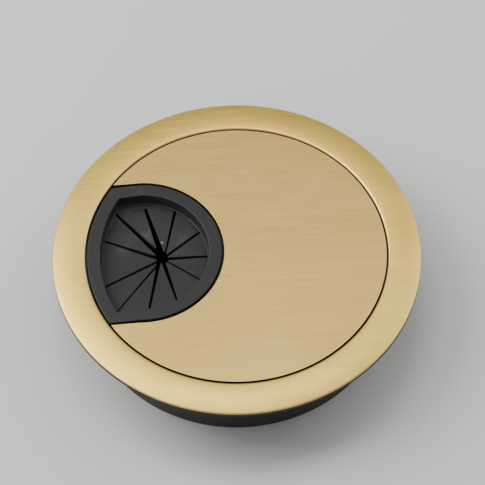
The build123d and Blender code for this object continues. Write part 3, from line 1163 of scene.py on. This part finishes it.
class GROMMET_OT_screws(bpy.types.Operator):
    """Model one clamp screw and copy it to the other bosses"""

    bl_idname = "grommet.screws"
    bl_label = "Clamp screws"

    def execute(self, context):
        cap = sizes("cap")
        places = boss_places()
        under = CLAMP_LOW.z
        low = under - cap.head_height
        screw = rod("Screw_1", cap.head_radius, places[0], low, under, round_low=HEAD_ROUND)
        edit(screw)
        pick("FACE", lambda face: level_with(face, under))
        bpy.ops.mesh.inset(thickness=cap.head_radius - cap.screw_radius, depth=0)
        push((0, 0, SCREW_HIGH.z - under))
        leave()
        socket = rod("Socket", cap.socket_radius, places[0], low - PAST, low + cap.socket_depth, sides=6)
        carve(screw, [socket])
        for number, piece in enumerate(copy_to(screw, places), start=1):
            piece.name = f"Screw_{number}"
            finish_piece(piece, "Zinc Steel", "cap", "clamp_screws")
        return {"FINISHED"}


def slit_side(number, toward, corner):
    """The edge of a slit on the side of the fin that lies toward the given point."""
    seal = sizes("seal")
    outer, inner, outer_width, inner_width = SLITS[number]
    far = Vector((*outer, 0)) * MM
    near = Vector((*inner, 0)) * MM
    aside = UP.cross((near - far).normalized())
    if aside.dot(toward - corner) < 0:
        aside = -aside
    level = Vector((0, 0, FLOOR_TOP))
    half = seal.slit_width / 2
    start = far + aside * outer_width * half + level
    end = near + aside * inner_width * half + level
    return start, (end - start).normalized()


def leaf_corners(number):
    """The four corners of a fin: the two at its root, then the two at its tip."""
    seal = sizes("seal")
    corners = slit_corners(FLOOR_TOP)
    after_number = (number + 1) % len(corners)
    here = corners[number]
    after = corners[after_number]
    root_way = (after - here).normalized()
    first = slit_side(number, after, here)
    second = slit_side(after_number, here, after)
    tip = lines_meet(*first, *second)
    first_root = lines_meet(*first, here, root_way)
    second_root = lines_meet(*second, here, root_way)
    cut = seal.tip / (first_root - second_root).length
    return first_root, second_root, tip.lerp(second_root, cut), tip.lerp(first_root, cut)


class GROMMET_OT_fins(bpy.types.Operator):
    """Model the eleven rubber fins, each drooping a little towards its tip"""

    bl_idname = "grommet.fins"
    bl_label = "Fins"

    def execute(self, context):
        seal = sizes("seal")
        for number, fin in enumerate(FINS):
            corners = leaf_corners(number)
            leaf = draw_line(f"Leaf_{number + 1:02d}", corners)
            bpy.ops.mesh.select_all(action="SELECT")
            bpy.ops.mesh.edge_face_add()
            bpy.ops.mesh.subdivide(number_cuts=FIN_CUTS)
            tidy_shell()
            tip = (corners[2] + corners[3]) / 2
            reach = (tip - (corners[0] + corners[1]) / 2).length
            pick_at(corners[2], corners[3])
            bpy.ops.transform.translate(
                value=(0, 0, -seal.droop), use_proportional_edit=True,
                proportional_edit_falloff="SMOOTH", proportional_size=0.8 * reach,
            )
            leave()
            top_up = sum(face.normal.z for face in leaf.data.polygons) > 0
            thick = leaf.modifiers.new("Thickness", "SOLIDIFY")
            thick.thickness = FLOOR_TOP - FLOOR_UNDER
            thick.offset = -1 if top_up else 1
            apply_modifier(leaf, thick)
            edit(leaf)
            root_mid = (corners[0] + corners[1]) / 2
            outward = (root_mid - tip).normalized()

            def sharp(edge):
                if len(edge.link_faces) != 2 or edge.calc_face_angle() < SHARP_ANGLE:
                    return False
                middle = (edge.verts[0].co + edge.verts[1].co) / 2
                return (middle - root_mid).dot(outward) < -ROOT_KEEP

            pick("EDGE", sharp)
            soften(FIN_ROUND, 2)
            tidy_shell()
            leave()
            finish_piece(leaf, "Black Rubber", None, fin)
            inward = UP.cross((corners[1] - corners[0]).normalized())
            if inward.dot(outward) > 0:
                inward = -inward
            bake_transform(leaf)
        return {"FINISHED"}


# ---- Stage -----------------------------------------------------------------------

VIEW_DISTANCE = 700 * MM
VIEW_RISE = math.radians(56.82)
VIEW_ROLL = math.radians(-0.645)
VIEW_LENS = 202.05
AIM_RIGHT = 1.520 * MM
AIM_UP = 2.474 * MM
FLOOR_SIZE = 4
# The painted shade on the floor inside the sleeve: its colour, radius and fade.
SHADED_FLOOR_COLOUR = (0.004, 0.004, 0.004)
SHADED_FLOOR_R = TURNTABLE_R - 1.5 * MM
SHADED_FLOOR_FADE = 0.5 * MM
WORLD_LIGHT = 0.42

# Each soft light: its name, place and size in metres, and its share of the set power.
LIGHTS = (
    ("Left", (-0.45, 0.12, 0.45), (0.45, 0.45), 0.75),
    ("Right", (0.42, 0.22, 0.40), (0.40, 0.40), 0.20),
    ("Overhead", (-0.05, 0.17, 0.75), (0.40, 0.25), 0.34),
)


class GROMMET_OT_stage(bpy.types.Operator):
    """Set the pale floor, the soft lights and the camera"""

    bl_idname = "grommet.stage"
    bl_label = "Stage"

    def light(self, name, place, size, power):
        clear_selection()
        bpy.ops.object.light_add(type="AREA", location=place)
        lamp = bpy.context.object
        lamp.name = name
        lamp.data.shape = "RECTANGLE"
        lamp.data.size, lamp.data.size_y = size
        lamp.data.energy = power
        lamp.rotation_euler = (-Vector(place)).to_track_quat("-Z", "Y").to_euler()

    def execute(self, context):
        finish = sizes("finish")
        clear_selection()
        bpy.ops.mesh.primitive_plane_add(size=FLOOR_SIZE, location=(0, 0, SLEEVE_FOOT))
        floor = take_new("Floor")
        tree, shader, place = new_material("Pale Floor", Roughness=0.8, Specular_IOR_Level=0.2)[:3]
        soft = noise(tree, place, 3.0, 2.0)
        body = blend_colour(tree, soft, shade(finish.floor, 0.97), solid(finish.floor))
        # Painted shade: the floor is painted dark inside the sleeve, like a desk's hole, so that the slits
        # look black.
        where = use_group(tree, "Radius", {"Vector": place})
        outside = ramp(tree, where["Radius"], SHADED_FLOOR_R, SHADED_FLOOR_R + SHADED_FLOOR_FADE)
        body = blend_colour(tree, outside, solid(SHADED_FLOOR_COLOUR), body)
        feed(tree, shader, {"Base Color": body})
        floor.data.materials.append(bpy.data.materials["Pale Floor"])

        world = bpy.data.worlds.new("Studio")
        context.scene.world = world
        world.use_nodes = True
        back = world.node_tree.nodes["Background"]
        back.inputs["Color"].default_value = (1.0, 1.0, 1.0, 1.0)
        back.inputs["Strength"].default_value = WORLD_LIGHT
        for name, spot, size, share in LIGHTS:
            self.light(name, spot, size, finish.light * share)

        aim_from = Vector((0, 0, CAP_TOP))
        across = Vector((1, 0, 0))
        upright = Vector((0, math.sin(VIEW_RISE), math.cos(VIEW_RISE)))
        place = aim_from + Vector((0, -math.cos(VIEW_RISE), math.sin(VIEW_RISE))) * VIEW_DISTANCE
        aim = aim_from + across * AIM_RIGHT + upright * AIM_UP
        clear_selection()
        bpy.ops.object.camera_add(location=place)
        camera = bpy.context.object
        look = (aim - place).to_track_quat("-Z", "Y").to_matrix().to_4x4()
        roll = Matrix.Rotation(VIEW_ROLL, 4, "Z")
        camera.matrix_world = Matrix.Translation(place) @ look @ roll
        camera.data.lens = VIEW_LENS
        camera.data.sensor_width = 36
        camera.data.clip_start = 0.01
        camera.data.clip_end = 20
        context.scene.camera = camera
        return {"FINISHED"}


# ---- Panel and run ---------------------------------------------------------------

STEPS = (
    GROMMET_OT_finishes,
    GROMMET_OT_trim_ring,
    GROMMET_OT_sleeve,
    GROMMET_OT_turntable,
    GROMMET_OT_cap,
    GROMMET_OT_seal,
    GROMMET_OT_clamp,
    GROMMET_OT_screws,
    GROMMET_OT_fins,
    GROMMET_OT_stage,
)


class GROMMET_PT_panel(bpy.types.Panel):
    """Steps that make the grommet"""

    bl_label = "Desk Cable Grommet"
    bl_idname = "GROMMET_PT_panel"
    bl_space_type = "VIEW_3D"
    bl_region_type = "UI"
    bl_category = "Grommet"

    def draw(self, context):
        for step in STEPS:
            self.layout.operator(step.bl_idname)


CLASSES = (*SETTINGS.values(), *STEPS, GROMMET_PT_panel)


def register():
    for kind in CLASSES:
        bpy.utils.register_class(kind)
    for name, kind in SETTINGS.items():
        setattr(bpy.types.Scene, name, bpy.props.PointerProperty(type=kind))


def unregister():
    for name in SETTINGS:
        delattr(bpy.types.Scene, name)
    for kind in reversed(CLASSES):
        bpy.utils.unregister_class(kind)


def main():
    register()
    for step in STEPS:
        place, name = step.bl_idname.split(".")
        result = getattr(getattr(bpy.ops, place), name)()
        if result != {"FINISHED"}:
            raise RuntimeError(f"{step.bl_label} did not finish")
    clear_selection()


if __name__ == "__main__":
    main()
